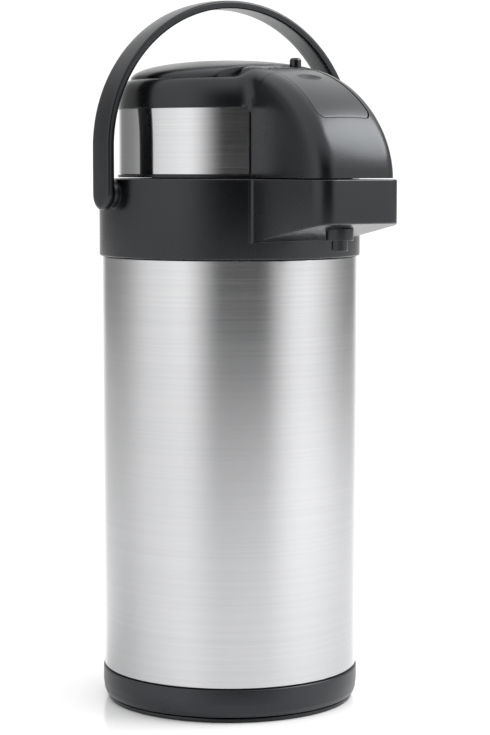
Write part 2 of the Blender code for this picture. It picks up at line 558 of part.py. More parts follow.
# ---- lid ----------------------------------------------------------------------------
def build_lid(add):
    pivot = (0, HINGE_Y, HINGE_Z)
    under_band = LID_R - BAND_WALL - GAP
    inner = under_band - 0.0020
    outside = [(LID_R + 0.0006, LID_LOW_Z), (LID_R + 0.0006, BAND_LOW_Z - GAP),
               (under_band, BAND_LOW_Z - GAP), (under_band, BAND_TOP_Z + GAP)]
    dome = [(r, z + GAP if k == 0 else z) for k, (r, z) in enumerate(dome_curve(0.0))]
    inside = [(r, z - 0.0008) for r, z in reversed(dome_curve(0.0024))]
    inside = [(min(r, inner), z) for r, z in inside]
    shell = lathe("lid_shell", outside + dome + inside + [(inner, LID_LOW_Z)])
    roof = lathe("roof", [(0, DOME_EDGE_Z + 0.0035), (0.040, DOME_EDGE_Z + 0.0030),
                          (DOME_EDGE_R, DOME_EDGE_Z), (DOME_EDGE_R, DOME_EDGE_Z - 0.0024),
                          (0.040, DOME_EDGE_Z + 0.0004), (0, DOME_EDGE_Z + 0.0010)])
    join(shell, roof)
    hood = hood_solid("hood", 0.0)
    join(shell, hood)
    hollow = hood_solid("hollow", WALL, low_z=0.300, rear_y=-0.0380)
    cut(shell, hollow)
    clear = inner + 0.0002
    room = lathe("room", [(0, 0.30), (clear, 0.30), (clear, BAND_TOP_Z - 0.0012),
                          (DOME_EDGE_R - 0.0024, DOME_EDGE_Z - 0.0034), (0, DOME_EDGE_Z - 0.0030)])
    cut(shell, room)
    cut(shell, extrude("cap_hole", cap_outline(GAP + 0.0001), 0.340, 0.400))
    cut(shell, extrude("panel_hole", panel_outline(*PANEL_ROOM), 0.330, 0.400))
    x, y = LOCK_PLACE
    slot = arc((x, y), 0.0016, -90, 90, 5) + arc((x - LOCK_TRAVEL, y), 0.0016, 90, 270, 5)
    cut(shell, extrude("slot", slot, 0.360, 0.400))
    for side in (-1, 1):
        ends = sorted((side * 0.0195, side * 0.0246))
        join(shell, rod("lug", 0.0034, *ends, PANEL_AXIS, "X", 14))
        ends = sorted((side * 0.0185, side * 0.0216))
        cut(shell, rod("bore", 0.0018, *ends, PANEL_AXIS, "X", 12))
    screws = around(PLATE_SCREW_R, PLATE_SCREW_ANGLES)
    for place in screws:
        join(shell, rod("post", 0.0046, PLATE_TOP_Z + GAP, 0.3300, place, "Z", 12))
        cut(shell, rod("bore", 0.0018, 0.3140, 0.3280, place, "Z", 10))
    add(shell, "black_satin", pivot)

    cut_angle = math.degrees(math.asin((HOOD_ROOT[0] + GAP) / LID_R))
    start = -90 + cut_angle + 0.2
    outline = arc((0, 0), LID_R, start, 180 - start, 36)
    outline += [p for p in reversed(arc((0, 0), LID_R - BAND_WALL, start, 180 - start, 36))]
    add(extrude("lid_band", outline, BAND_LOW_Z, BAND_TOP_Z), "steel_brushed", pivot)

    plate_r = inner - GAP
    plate = extrude("lid_plate", disc((0, 0), plate_r, FINE), PLATE_LOW_Z, PLATE_TOP_Z)
    nose, bend = -0.1305, -0.1225
    right = [(hood_half(-0.05) - 0.0026, -0.050), (hood_half(bend) - 0.0028, bend),
             (hood_half(nose) - 0.0080, nose)]
    outline = right + [(-x, y) for x, y in reversed(right)]
    join(plate, extrude("tongue", outline, PLATE_LOW_Z, PLATE_TOP_Z))
    cut(plate, rod("vent", 0.0035, 0.310, 0.320, (0, BELLOWS_Y), "Z", 14))
    for place in screws:
        cut(plate, rod("hole", 0.0036, 0.310, 0.320, place, "Z", 14))
    cut(plate, extrude("slot", LATCH_SLOT, 0.310, 0.320))
    add(plate, "natural_plastic", pivot)
    add(lathe("lid_gasket", [(0.0400, 0.3113), (0.0425, RING_TOP_Z + GAP), (0.0465, 0.3113),
                             (0.0465, PLATE_LOW_Z - GAP), (0.0400, PLATE_LOW_Z - GAP)], MEDIUM),
        "silicone", pivot)
    for number, place in enumerate(screws, 1):
        profile = [(0, 0.3141), (0.0032, 0.3141), (0.0032, 0.3156), (0.0015, 0.3164),
                   (0.0015, 0.3270), (0, 0.3270)]
        add(lathe(f"plate_screw_{number}", profile, 12, place), "steel_plain", pivot)

    valve = lathe("vent_valve", [(0, 0.3120), (0.0060, 0.3125), (0.0060, 0.3132),
                                 (0.0022, 0.3136), (0.0022, 0.3176), (0, 0.3176)], 16,
                  (0, BELLOWS_Y))
    add(valve, "silicone", pivot)

    leaf = rod("lid_hinge_leaf", 0.0042, -EAR_X + GAP, EAR_X - GAP, (HINGE_Y, HINGE_Z), "X")
    web = [(0.0664, 0.3172), (0.0700, 0.3172), (0.0700, 0.3215), (0.0682, 0.3320),
           (0.0664, 0.3340)]
    join(leaf, extrude("web", web, -EAR_X + GAP, EAR_X - GAP, axis="X"))
    cut(leaf, rod("bore", HINGE_PIN_R + GAP, -0.030, 0.030, (HINGE_Y, HINGE_Z), "X", 14))
    add(leaf, "black_satin", pivot)

    low, top = BELLOWS_Z
    folds = 5
    profile = []
    for k in range(2 * folds + 1):
        radius = 0.0340 if k % 2 else 0.0270
        profile.append((radius, low + (top - low) * k / (2 * folds)))
    profile += [(r - 0.0009, z) for r, z in reversed(profile)]
    add(lathe("bellows", profile, MEDIUM, (0, BELLOWS_Y)), "silicone", pivot)
    add(coil("return_spring", 0.0150, 0.0008, 5.5, (0, BELLOWS_Y, low + 0.0010), (0, 0, 1),
             top - low - 0.0022), "steel_plain", pivot)
    add(rod("panel_pin", 0.0015, -0.0210, 0.0210, PANEL_AXIS, "X", 10), "steel_plain", pivot)
    add(coil("panel_spring", 0.0026, 0.00045, 6.0, (-0.0050, *PANEL_AXIS), (1, 0, 0), 0.0100,
             per_turn=8, sides=4), "steel_plain", pivot)


def build_push_cap(add):
    top = cap_curve()
    under = [(max(0.0, r - 0.0022) if r > 0.001 else 0.0, z - 0.0024) for r, z in top]
    cap = lathe("push_cap", [(CAP_R, CAP_SKIRT_Z)] + top + list(reversed(under))
                + [(CAP_R - 0.0022, CAP_SKIRT_Z)])
    ahead = [(-0.070, CAP_FRONT_Y), (-0.070, -0.070), (0.070, -0.070), (0.070, CAP_FRONT_Y)]
    cut(cap, extrude("ahead", ahead, 0.340, 0.400))
    front = [(-0.0372, CAP_FRONT_Y + 0.0001), (0.0372, CAP_FRONT_Y + 0.0001),
             (0.0372, CAP_FRONT_Y + 0.0020), (-0.0372, CAP_FRONT_Y + 0.0020)]
    join(cap, extrude("front", front, CAP_SKIRT_Z + 0.0001, 0.3735))
    add(cap, "black_satin")
    low = BELLOWS_Z[1] + GAP
    add(lathe("pusher_plate", [(0, low), (0.0330, low), (0.0330, low + 0.0024),
                               (0.0080, low + 0.0030), (0.0080, 0.3785), (0, 0.3785)], MEDIUM,
              (0, BELLOWS_Y)), "natural_plastic")


def build_panel(add):
    pivot = (0, *PANEL_AXIS)
    panel = hood_solid("latch_panel", 0.0002)
    cut(panel, hood_solid("under", 0.0026, low_z=0.300, rear_y=-0.0380))
    combine(panel, extrude("keep", panel_outline(0.0), 0.330, 0.400), "INTERSECT")
    for side in (-1, 1):
        ends = sorted((side * 0.0085, side * 0.0110))
        join(panel, rod("lug", 0.0036, *ends, PANEL_AXIS, "X", 14))
        join(panel, extrude("web", [(PANEL_AXIS[0] - 0.0030, PANEL_AXIS[1]),
                                    (PANEL_AXIS[0] + 0.0030, PANEL_AXIS[1]),
                                    (PANEL_AXIS[0] + 0.0030, 0.3640),
                                    (PANEL_AXIS[0] - 0.0030, 0.3610)], *ends, axis="X"))
    cut(panel, rod("bore", 0.0018, -0.030, 0.030, PANEL_AXIS, "X", 12))
    add(panel, "panel_grey", pivot)
    hook = [(-0.0070, -0.1170), (0.0070, -0.1170), (0.0070, -0.1150), (-0.0070, -0.1150)]
    add(extrude("latch_hook", hook, 0.3060, 0.3445), "natural_plastic", pivot)


def build_lock(add):
    x, y = LOCK_PLACE
    knob = lathe("lock_knob", [(0, 0.3725), (0.0013, 0.3725), (0.0013, 0.3784), (0.0030, 0.3784),
                               (0.00325, 0.3790), (0.00325, LOCK_TOP_Z - 0.0018),
                               (0.0026, LOCK_TOP_Z - 0.0005), (0.0014, LOCK_TOP_Z),
                               (0, LOCK_TOP_Z)], COARSE, LOCK_PLACE)
    add(knob, "black_gloss")
    bar = [(x - 0.0045, y - 0.0025), (x + 0.0045, y - 0.0025), (x + 0.0045, y + 0.0025),
           (x - 0.0045, y + 0.0025)]
    add(extrude("lock_slider", bar, 0.3690, 0.3722), "natural_plastic")


def build():
    for obj in list(bpy.data.objects):
        bpy.data.objects.remove(obj)
    materials = make_materials()

    def add(obj, finish, origin=None):
        """Give a finished piece its material, smooth shading and origin."""
        if origin is not None:
            shift = Vector(origin) - obj.location
            obj.data.transform(Matrix.Translation(-shift))
            obj.location = origin
        obj.data.materials.clear()
        obj.data.materials.append(materials[finish])
        obj.data.shade_smooth()
        obj.data.set_sharp_from_angle(angle=math.radians(35))

    for step in (build_vessel, build_base, build_collar, build_flow, build_handle, build_lid,
                 build_push_cap, build_panel, build_lock):
        step(add)


build()
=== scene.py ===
"""Looks of the pump-action thermal coffee airpot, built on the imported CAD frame.

Metres, +Z up, spout towards -Y, origin on the vessel's axis at the surface it stands on.
"""
import json
import math

import bmesh
import bpy
import numpy as np
from mathutils import Matrix, Vector


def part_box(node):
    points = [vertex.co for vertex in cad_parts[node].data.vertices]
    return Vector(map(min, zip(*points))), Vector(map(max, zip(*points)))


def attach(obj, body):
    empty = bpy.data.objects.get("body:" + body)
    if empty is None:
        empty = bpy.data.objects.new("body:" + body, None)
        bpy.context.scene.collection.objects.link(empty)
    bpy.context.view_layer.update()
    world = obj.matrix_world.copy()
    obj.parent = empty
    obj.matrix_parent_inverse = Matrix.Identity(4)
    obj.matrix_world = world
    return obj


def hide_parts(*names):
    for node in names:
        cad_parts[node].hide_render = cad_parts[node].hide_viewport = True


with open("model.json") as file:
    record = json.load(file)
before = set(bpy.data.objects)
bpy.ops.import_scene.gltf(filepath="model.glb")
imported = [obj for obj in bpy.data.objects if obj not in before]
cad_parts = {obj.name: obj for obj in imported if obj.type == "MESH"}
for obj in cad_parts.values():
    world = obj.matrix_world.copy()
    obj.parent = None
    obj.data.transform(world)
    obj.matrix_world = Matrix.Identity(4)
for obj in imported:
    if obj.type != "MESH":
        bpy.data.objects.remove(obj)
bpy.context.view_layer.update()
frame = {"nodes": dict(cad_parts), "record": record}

# ---- dimensions: read from the frame where a node gives them, else as the CAD states -----
GAP = 0.0003
ROUND = 256                                   # sides of a turned piece
SHARP_EDGE = 35.0                             # degrees between faces that are shaded apart

SHELL_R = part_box("outer_shell")[1].x
BASE_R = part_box("base_ring")[1].x
BASE_TOP_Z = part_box("base_ring")[1].z
FOOT_R, FOOT_H = 0.0738, 0.0025
COLLAR_R = 0.0777
COLLAR_LOW_Z, COLLAR_TOP_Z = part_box("collar")[0].z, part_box("collar")[1].z
RING_R = 0.0500

BEAK_ROOT = (0.0299, -0.0717)                 # half width and y where the beak starts
BEAK_NOSE = (0.0274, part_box("collar")[0].y)
BEAK_ROUND = 0.0100
BEAK_NOSE_Z, BEAK_ROOT_Z = 0.2885, 0.2766     # its underside
BEAK_FILLET = 0.0032

LID_R = 0.0660
LID_LOW_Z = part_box("lid_shell")[0].z
LIP_R, LIP_TOP_Z = LID_R + 0.0006, 0.0015 + LID_LOW_Z
BAND_LOW_Z, BAND_TOP_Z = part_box("lid_band")[0].z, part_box("lid_band")[1].z
BAND_WALL = 0.0010
SEAT_R, SEAT_TOP_Z = LID_R - BAND_WALL - GAP, BAND_TOP_Z - 0.0015    # where the band sits
BAND_END_Y = -0.0615                          # the band stops at the hood's flanks
DOME_EDGE_R, DOME_EDGE_Z, DOME_TOP_Z = 0.0594, 0.3702, 0.3820
LID_CENTRE = Vector((0.0, -0.0400, LID_LOW_Z))     # the lid's outside is seen whole from here
LID_WALL = 0.0022
FIELD_LOW_Z = LID_LOW_Z - 0.020               # the field's outlines go on below the lid

HOOD_REAR_Y, HOOD_LENGTH, HOOD_HEIGHT, HOOD_POWER = -0.0465, 0.0884, 0.0637, 1.92
HOOD_ROOT, HOOD_NOSE = (0.0244, -0.0610), (0.0272, -0.1245)
HOOD_CROWN = 0.0010
HOOD_EDGE_REAR, HOOD_EDGE_NOSE = 0.0065, 0.0104
FILLET, FILLET_GROWTH, FILLET_RISE = 0.0006, 0.0064, 0.0015    # dome to hood, above the band

CAP_R, CAP_FRONT_Y, CAP_SKIRT_Z = 0.0589, -0.0452, 0.3585
PANEL_REAR_Y, PANEL_FRONT_Y = -0.0640, -0.1200
PANEL_REAR_HALF, PANEL_FRONT_HALF, PANEL_CORNER = 0.0150, 0.0175, 0.0040
PANEL_ROOM = (0.0004, 0.0010, 0.0006)
PANEL_CENTRE_Y = -0.0920
DIMPLE = (-0.0850, 0.0080, 0.0047, 0.0019)     # y, half length across, half length along, depth
LOCK_PLACE, LOCK_TRAVEL = (0.0140, -0.0495), 0.0280
LOCK_TOP_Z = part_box("lock_knob")[1].z

LOCK_STEM_R, LOCK_HEAD_R = 0.0013, 0.00335
LOCK_LOW_Z, LOCK_HEAD_Z = 0.3725, 0.3766

PIVOT_Y, PIVOT_Z = 0.0025, 0.3040
PIN_R, PIN_HEAD_R, PIN_BORE_R = 0.0030, 0.0050, 0.0033
BOSS_R = 0.0084
BAIL_OUT, BAIL_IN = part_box("bail_handle")[1].x, 0.0820
BAIL_ARCH_Z, BAIL_WIDTH = 0.3305, 0.0190
HINGE_Y, HINGE_Z, EAR_X, EAR_WIDTH = 0.0715, 0.3186, 0.0140, 0.0040
HINGE_R = 0.0042                              # rounding of the leaf and the ears
PANEL_PIN = (-0.0980, 0.3540)                 # y and z
SPOUT_Y, SPOUT_COLLAR_Z, SPOUT_TIP_Z = -0.1150, (0.2788, 0.2856), (0.2730, 0.2908)
COLLAR_DECK, COLLAR_WALL = 0.0024, 0.0022
POCKET_HALF, POCKET_Y, POCKET_Z = 0.0085, (-0.1245, -0.1110), (0.2950, 0.3200)


# ---- materials --------------------------------------------------------------------------
class Shader:
    """A Principled material and the nodes that feed it."""

    def __init__(self, name):
        self.material = bpy.data.materials.new(name)
        self.material.use_nodes = True
        self.tree = self.material.node_tree
        self.out = self.tree.nodes["Principled BSDF"]

    def node(self, kind, **settings):
        """A new node of the material, such as Bump, with its settings."""
        made = self.tree.nodes.new("ShaderNode" + kind)
        for key, value in settings.items():
            setattr(made, key, value)
        return made

    def set(self, **values):
        """Constants on the Principled shader's own sockets."""
        for key, value in values.items():
            self.out.inputs[key.replace("_", " ")].default_value = value

    def link(self, source, socket, target):
        self.tree.links.new(source.outputs[socket], target)

    def noise(self, scale, size=1.0, detail=2.0, rough=0.5):
        """Noise over the piece's own coordinates, stretched by scale along each axis."""
        place = self.node("TexCoord")
        stretch = self.node("Mapping")
        stretch.inputs["Scale"].default_value = scale
        made = self.node("TexNoise")
        made.inputs["Scale"].default_value = size
        made.inputs["Detail"].default_value = detail
        made.inputs["Roughness"].default_value = rough
        self.link(place, "Object", stretch.inputs["Vector"])
        self.link(stretch, "Vector", made.inputs["Vector"])
        return made

    def spread(self, source, socket, low, high, start=0.3, end=0.7):
        """A value from low to high as source goes from start to end."""
        made = self.node("MapRange")
        for key, value in (("From Min", start), ("From Max", end),
                           ("To Min", low), ("To Max", high)):
            made.inputs[key].default_value = value
        self.link(source, socket, made.inputs["Value"])
        return made

    def mix(self, factor, socket, first, second):
        """A colour between two, as the factor goes from 0 to 1."""
        made = self.node("Mix", data_type="RGBA")
        made.inputs["A"].default_value = (*first, 1.0)
        made.inputs["B"].default_value = (*second, 1.0)
        self.link(factor, socket, made.inputs["Factor"])
        return made

    def bump(self, source, strength, depth, soft_edges=0.0):
        """Fine relief from a noise, over edges that are shaded round if soft_edges is a radius."""
        made = self.node("Bump")
        made.inputs["Strength"].default_value = strength
        made.inputs["Distance"].default_value = depth
        self.link(source, "Fac", made.inputs["Height"])
        if soft_edges:
            edge = self.node("Bevel", samples=4)
            edge.inputs["Radius"].default_value = soft_edges
            self.link(edge, "Normal", made.inputs["Normal"])
        self.link(made, "Normal", self.out.inputs["Normal"])


def brushed_steel(name, smooth, rough):
    """Sheet steel brushed round the body: fine lines along the circumference, with a roughness
    that runs from smooth to rough between the lines."""
    s = Shader(name)
    s.set(Metallic=1.0, Anisotropic=0.78, Anisotropic_Rotation=0.25)
    fine = s.noise((7.0, 7.0, 4200.0), detail=3.0, rough=0.6)
    broad = s.noise((4.0, 4.0, 700.0), detail=2.0)
    colour = s.mix(broad, "Fac", (0.435, 0.438, 0.445), (0.495, 0.495, 0.50))
    s.link(colour, "Result", s.out.inputs["Base Color"])
    s.link(s.spread(fine, "Fac", smooth, rough), "Result", s.out.inputs["Roughness"])
    s.bump(fine, 0.12, 0.00001)
    round_axis = s.node("Tangent", direction_type="RADIAL", axis="Z")
    s.link(round_axis, "Tangent", s.out.inputs["Tangent"])
    return s.material


def turned_steel(name):
    """Drawn and turned steel of the liner, pins and screws."""
    s = Shader(name)
    s.set(Metallic=1.0)
    lines = s.noise((60.0, 60.0, 1500.0), detail=2.0)
    colour = s.mix(lines, "Fac", (0.60, 0.60, 0.61), (0.72, 0.72, 0.73))
    s.link(colour, "Result", s.out.inputs["Base Color"])
    s.link(s.spread(lines, "Fac", 0.18, 0.30), "Result", s.out.inputs["Roughness"])
    s.bump(lines, 0.15, 0.00002)
    return s.material


def moulded(name, dark, light, rough, grain=900.0, relief=0.00003, soft_edges=0.0, edge_highlight=0.0):
    """Moulded plastic: a fine eroded grain, uneven gloss, and convex edges lightened as a painted
    highlight.
    """
    s = Shader(name)
    s.set(IOR=1.46, Specular_Tint=(0.91, 0.95, 1.0, 1.0))
    grainy = s.noise((grain, grain, grain), detail=2.0)
    cloudy = s.noise((22.0, 22.0, 22.0), detail=4.0, rough=0.6)
    colour = s.mix(cloudy, "Fac", dark, light)
    result = colour
    # painted highlight: sharp convex edges (high pointiness) are mixed towards a lighter colour
    if edge_highlight:
        convexity = s.node("NewGeometry")
        edges = s.spread(convexity, "Pointiness", 0.0, edge_highlight, 0.53, 0.62)
        result = s.node("Mix", data_type="RGBA")
        s.link(edges, "Result", result.inputs["Factor"])
        s.link(colour, "Result", result.inputs["A"])
        result.inputs["B"].default_value = (*(2.0 * c + 0.004 for c in light), 1.0)
    s.link(result, "Result", s.out.inputs["Base Color"])
    s.link(s.spread(cloudy, "Fac", rough - 0.035, rough + 0.035), "Result",
           s.out.inputs["Roughness"])
    s.bump(grainy, 0.22, relief, soft_edges)
    return s.material


def milky(name, dark, light, rough):
    """Unpigmented plastic or silicone, slightly translucent."""
    s = Shader(name)
    s.set(IOR=1.49, Subsurface_Weight=0.15, Subsurface_Scale=0.003)
    cloudy = s.noise((40.0, 40.0, 40.0), detail=3.0)
    s.link(s.mix(cloudy, "Fac", dark, light), "Result", s.out.inputs["Base Color"])
    s.link(s.spread(cloudy, "Fac", rough - 0.05, rough + 0.05), "Result",
           s.out.inputs["Roughness"])
    s.bump(s.noise((700.0, 700.0, 700.0)), 0.2, 0.00003)
    return s.material


FINISHES = {
    "steel_brushed": brushed_steel("steel_brushed", 0.17, 0.23),
    "steel_plain": turned_steel("steel_plain"),
    # black satin gets the painted highlight on its convex edges
    "black_satin": moulded("black_satin", (0.0013, 0.0014, 0.0018), (0.0021, 0.0022, 0.0029), 0.27,
                           soft_edges=0.0004, edge_highlight=0.25),
    "charcoal": moulded("charcoal", (0.0055, 0.0060, 0.0075), (0.0075, 0.0082, 0.0100), 0.30,
                        soft_edges=0.0004),
    "panel_grey": moulded("panel_grey", (0.0060, 0.0063, 0.0075), (0.0080, 0.0084, 0.0100), 0.29),
    "black_gloss": moulded("black_gloss", (0.004, 0.004, 0.0045), (0.006, 0.006, 0.007), 0.12,
                           grain=200.0, relief=0.00001),
    "natural_plastic": milky("natural_plastic", (0.70, 0.70, 0.67), (0.80, 0.80, 0.78), 0.42),
    "silicone": milky("silicone", (0.62, 0.61, 0.58), (0.72, 0.71, 0.68), 0.58),
}


BAND_FINISH = brushed_steel("steel_brushed_band", 0.10, 0.15)    # the lid's band is smoother


# ---- mesh tools -------------------------------------------------------------------------
def raw(name, vertices, faces):
    """A closed mesh object with its faces pointing out."""
    mesh = bpy.data.meshes.new(name)
    mesh.from_pydata([tuple(v) for v in vertices], [], [tuple(f) for f in faces])
    bm = bmesh.new()
    bm.from_mesh(mesh)
    bmesh.ops.remove_doubles(bm, verts=bm.verts, dist=1e-7)
    bmesh.ops.recalc_face_normals(bm, faces=bm.faces)
    bm.to_mesh(mesh)
    bm.free()
    obj = bpy.data.objects.new(name, mesh)
    bpy.context.scene.collection.objects.link(obj)
    return obj


def cut(obj, other):
    """Cut other out of obj and drop it; both are closed meshes."""
    step = obj.modifiers.new("step", "BOOLEAN")
    step.operation, step.solver, step.object = "DIFFERENCE", "MANIFOLD", other
    bpy.context.view_layer.update()
    graph = bpy.context.evaluated_depsgraph_get()
    result = bpy.data.meshes.new_from_object(obj.evaluated_get(graph))
    obj.modifiers.clear()
    obj.data = result
    bpy.data.objects.remove(other)
    return obj


def finish_piece(obj, body, node, finish, material=None):
    """Shade a piece, give it its finish and let it stand for its CAD node."""
    obj.name = obj.data.name = node + "_skin"
    obj.data.materials.clear()
    obj.data.materials.append(material or FINISHES[finish])
    obj.data.shade_smooth()
    obj.data.set_sharp_from_angle(angle=math.radians(SHARP_EDGE))
    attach(obj, body)
    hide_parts(node)
    return obj


def softened(outline, steps=4):
    """A closed outline of (u, v) or (u, v, radius): corners with a radius become arcs."""
    points = []
    count = len(outline)
    for i, corner in enumerate(outline):
        here = Vector(corner[:2])
        radius = corner[2] if len(corner) > 2 else 0.0
        if not radius:
            points.append(here)
            continue
        before = (Vector(outline[i - 1][:2]) - here).normalized()
        after = (Vector(outline[(i + 1) % count][:2]) - here).normalized()
        half = 0.5 * before.angle(after)
        reach = radius / math.tan(half)
        centre = here + (before + after).normalized() * (radius / math.sin(half))
        start, end = here + before * reach - centre, here + after * reach - centre
        turn = start.angle_signed(end)
        for k in range(steps + 1):
            a = -turn * k / steps
            points.append(centre + Vector((start.x * math.cos(a) - start.y * math.sin(a),
                                           start.x * math.sin(a) + start.y * math.cos(a))))
    return points


def turned(name, outline, sides=ROUND, centre=(0.0, 0.0), steps=4):
    """Turn a closed outline of (radius, z) about the vertical through centre."""
    profile = softened(outline, steps)
    angles = [2 * math.pi * k / sides for k in range(sides)]
    vertices, rings = [], []
    for radius, z in profile:
        if radius < 1e-7:
            rings.append([len(vertices)] * sides)
            vertices.append((centre[0], centre[1], z))
            continue
        rings.append(list(range(len(vertices), len(vertices) + sides)))
        vertices += [(centre[0] + radius * math.cos(a), centre[1] + radius * math.sin(a), z)
                     for a in angles]
    return raw(name, vertices, ring_faces(rings, True))


def ring_faces(rings, closed):
    """Quads between rings of vertex numbers; equal corners are merged into triangles."""
    faces = []
    count = len(rings[0])
    for i in range(len(rings) if closed else len(rings) - 1):
        ring, after = rings[i], rings[(i + 1) % len(rings)]
        for k in range(count):
            m = (k + 1) % count
            corners = [ring[k], ring[m], after[m], after[k]]
            face = [c for n, c in enumerate(corners) if c not in corners[:n]]
            if len(face) > 2:
                faces.append(face)
    return faces


def stacked(name, rows):
    """A closed skin over rows of points, each a ring; the first and last row are capped."""
    count = len(rows[0])
    vertices = [p for row in rows for p in row]
    rings = [list(range(i * count, (i + 1) * count)) for i in range(len(rows))]
    faces = ring_faces(rings, False) + [rings[0], rings[-1]]
    return raw(name, vertices, faces)


def placed(p, h, axis):
    """A point (u, v) of an outline at height h: (y, z) along X, (x, z) along Y, (x, y) along Z."""
    return {"X": (h, p[0], p[1]), "Y": (p[0], h, p[1]), "Z": (p[0], p[1], h)}[axis]


def prism(name, outline, low, high, axis="Z"):
    """A prism on a closed outline."""
    return stacked(name, [[placed(p, h, axis) for p in outline] for h in (low, high)])


def bar(name, outline, low, high, axis, soft=0.0004, steps=3):
    """A prism whose two end edges are rounded; the outline is pulled in along its normals."""
    points = [Vector(p) for p in outline]
    if area(points) < 0:
        points.reverse()
    rows = []
    for k in range(2 * steps + 2):
        a = 0.5 * math.pi * (k if k <= steps else 2 * steps + 1 - k) / steps
        inset = soft * (1 - math.sin(a))
        rise = soft * (1 - math.cos(a))
        height = low + rise if k <= steps else high - rise
        rows.append([placed(p, height, axis) for p in pulled_in(points, inset)])
    return stacked(name, rows)


def area(points):
    """Signed area of a closed outline, positive when it runs anticlockwise."""
    return 0.5 * sum(points[i - 1].x * p.y - p.x * points[i - 1].y for i, p in enumerate(points))


def normals_of(points):
    """Outward normals of a closed outline that runs anticlockwise."""
    made = []
    for i, p in enumerate(points):
        along = (p - points[i - 1]).normalized() + (points[(i + 1) % len(points)] - p).normalized()
        along.normalize()
        made.append(Vector((along.y, -along.x)))
    return made


def pulled_in(points, inset):
    """The outline moved inwards along its normals."""
    return [p - n * inset for p, n in zip(points, normals_of(points))]


def arc(centre, radius, start, end, steps):
    """Points on an arc, angles in degrees."""
    return [(centre[0] + radius * math.cos(math.radians(start + (end - start) * k / steps)),
             centre[1] + radius * math.sin(math.radians(start + (end - start) * k / steps)))
            for k in range(steps + 1)]


def joined(first, *others):
    """Several closed meshes as one object."""
    bm = bmesh.new()
    for obj in (first, *others):
        bm.from_mesh(obj.data)
    bm.to_mesh(first.data)
    bm.free()
    for obj in others:
        bpy.data.objects.remove(obj)
    return first


# ---- the lid's outside as a field: negative inside, in metres ---------------------------
def polygon_distance(u, v, corners):
    """Signed distance of points (u, v) to a closed outline, negative inside."""
    best = np.full(u.shape, 1e9)
    inside = np.zeros(u.shape, bool)
    for (u0, v0), (u1, v1) in zip(corners, corners[1:] + corners[:1]):
        du, dv = u1 - u0, v1 - v0
        length = du * du + dv * dv
        if length < 1e-16:
            continue
        t = np.clip(((u - u0) * du + (v - v0) * dv) / length, 0, 1)
        best = np.minimum(best, (u - u0 - t * du) ** 2 + (v - v0 - t * dv) ** 2)
        crosses = (v0 > v) != (v1 > v)
        if abs(dv) > 1e-12:
            inside ^= crosses & (u < u0 + (v - v0) * du / dv)
    return np.where(inside, -1.0, 1.0) * np.sqrt(best)


def dome_outline():
    """(radius, z) outline of the lid without its hood, with the seat of the steel band."""
    points = [(-0.2, FIELD_LOW_Z), (LIP_R, FIELD_LOW_Z), (LIP_R, LIP_TOP_Z),
              (SEAT_R, LIP_TOP_Z), (SEAT_R, SEAT_TOP_Z), (LID_R, BAND_TOP_Z + GAP)]
    for k in range(1, 17):
        a = 0.5 * math.pi * k / 16
        points.append((LID_R - (LID_R - DOME_EDGE_R) * (1 - math.cos(a)),
                       BAND_TOP_Z + (DOME_EDGE_Z - BAND_TOP_Z) * math.sin(a)))
    points += [(0.0400, DOME_EDGE_Z + 0.0030), (0.0, DOME_EDGE_Z + 0.0035),
               (-0.2, DOME_EDGE_Z + 0.0035)]
    return points


def hood_outline():
    """(y, z) outline of the hood: a superellipse over the beak with a square rear edge."""
    points = []
    for k in range(61):
        t = 0.5 * math.pi * k / 60
        points.append((HOOD_REAR_Y - HOOD_LENGTH * math.sin(t) ** (2 / HOOD_POWER),
                       LID_LOW_Z + HOOD_HEIGHT * max(0.0, math.cos(t)) ** (2 / HOOD_POWER)))
    return points + [(points[-1][0], FIELD_LOW_Z), (HOOD_REAR_Y, FIELD_LOW_Z)]


DOME, HOOD = dome_outline(), hood_outline()


def hood_half(y):
    """Half width of the hood at y."""
    slope = (HOOD_NOSE[0] - HOOD_ROOT[0]) / (HOOD_NOSE[1] - HOOD_ROOT[1])
    return HOOD_ROOT[0] + slope * (y - HOOD_ROOT[1])


def hood_field(x, y, z):
    """The hood: its outline in y and z, its width in x, and an edge that widens to the nose."""
    forward = np.clip((HOOD_REAR_Y - y) / HOOD_LENGTH, 0, 1) ** (0.5 * HOOD_POWER)
    edge = HOOD_EDGE_REAR + (HOOD_EDGE_NOSE - HOOD_EDGE_REAR) * forward
    half = hood_half(y)
    across = np.abs(x) - half
    above = polygon_distance(y, z, HOOD) + HOOD_CROWN * np.minimum(np.abs(x) / half, 1.0) ** 2
    u, v = across + edge, above + edge
    return np.hypot(np.maximum(u, 0), np.maximum(v, 0)) + np.minimum(np.maximum(u, v), 0) - edge


def lid_field(x, y, z):
    """The dome and the hood, with a fillet between them above the steel band."""
    dome = polygon_distance(np.hypot(x, y), z, DOME)
    hood = hood_field(x, y, z)
    rise = np.clip((z - BAND_TOP_Z) / FILLET_RISE, 0, 1)
    blend = FILLET + FILLET_GROWTH * rise
    near = np.maximum(blend - np.abs(dome - hood), 0) / blend
    return np.minimum(dome, hood) - near * near * blend * 0.25


def outermost(directions, inset):
    """Distance from the lid's centre to its outside, pulled in by inset, along each direction."""
    beyond_lid = 0.16
    low = np.zeros(len(directions))
    high = np.full(len(directions), beyond_lid)
    centre = np.array(LID_CENTRE)
    for _ in range(17):
        middle = 0.5 * (low + high)
        p = centre + directions * middle[:, None]
        outside = lid_field(p[:, 0], p[:, 1], p[:, 2]) > -inset
        high = np.where(outside, middle, high)
        low = np.where(outside, low, middle)
    return 0.5 * (low + high)


def top_height(x, y):
    """Height of the hood's top at plan points."""
    above_hood = 0.080
    low, high = np.full(x.shape, LID_LOW_Z), np.full(x.shape, LID_LOW_Z + above_hood)
    for _ in range(18):
        middle = 0.5 * (low + high)
        outside = hood_field(x, y, middle) > 0
        high = np.where(outside, middle, high)
        low = np.where(outside, low, middle)
    return 0.5 * (low + high)


